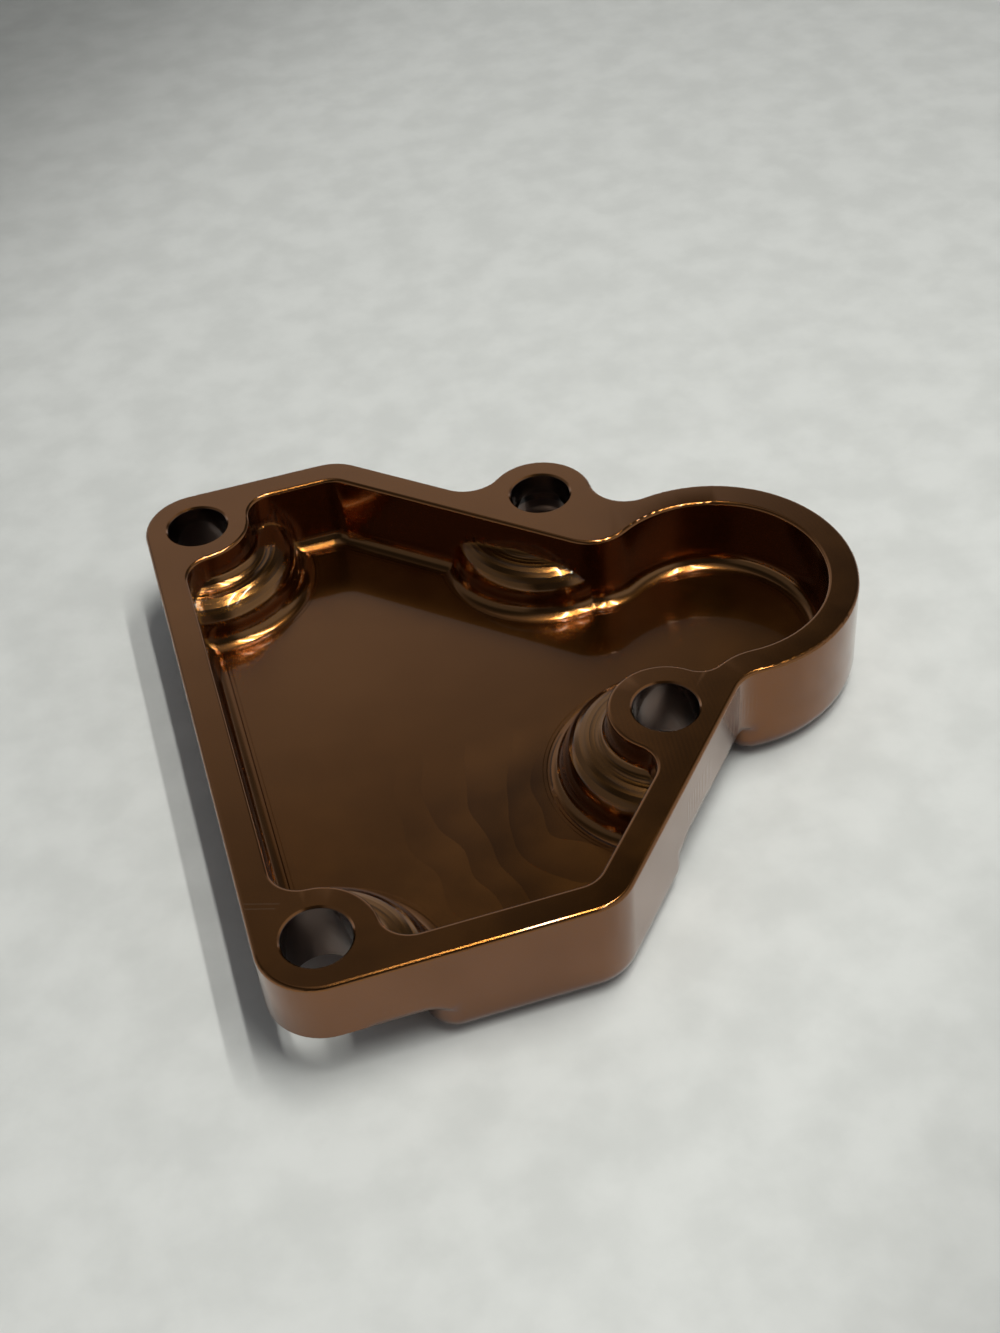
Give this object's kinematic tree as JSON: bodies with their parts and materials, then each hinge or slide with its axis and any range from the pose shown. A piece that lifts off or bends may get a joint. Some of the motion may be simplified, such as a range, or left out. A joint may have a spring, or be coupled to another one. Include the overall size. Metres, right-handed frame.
{
  "type": "machined cover",
  "caption": "Shallow open housing cover with a flat sealing rim, bolt bosses standing into a pocket with a rounded end, and bolt-head rooms under the flange.",
  "frame": {"origin": "middle of the length and width, on the surface that the closed side rests on", "axes": "+Z out of the open side, +Y along the long straight side, +X towards the rounded end"},
  "size_m": [0.0698, 0.071, 0.0122],
  "materials": {
    "anodised_aluminium": "bronze anodised over machined aluminium, satin to glossy"
  },
  "bodies": {
    "root": {"machined_cover": "anodised_aluminium"}
  },
  "joints": []
}
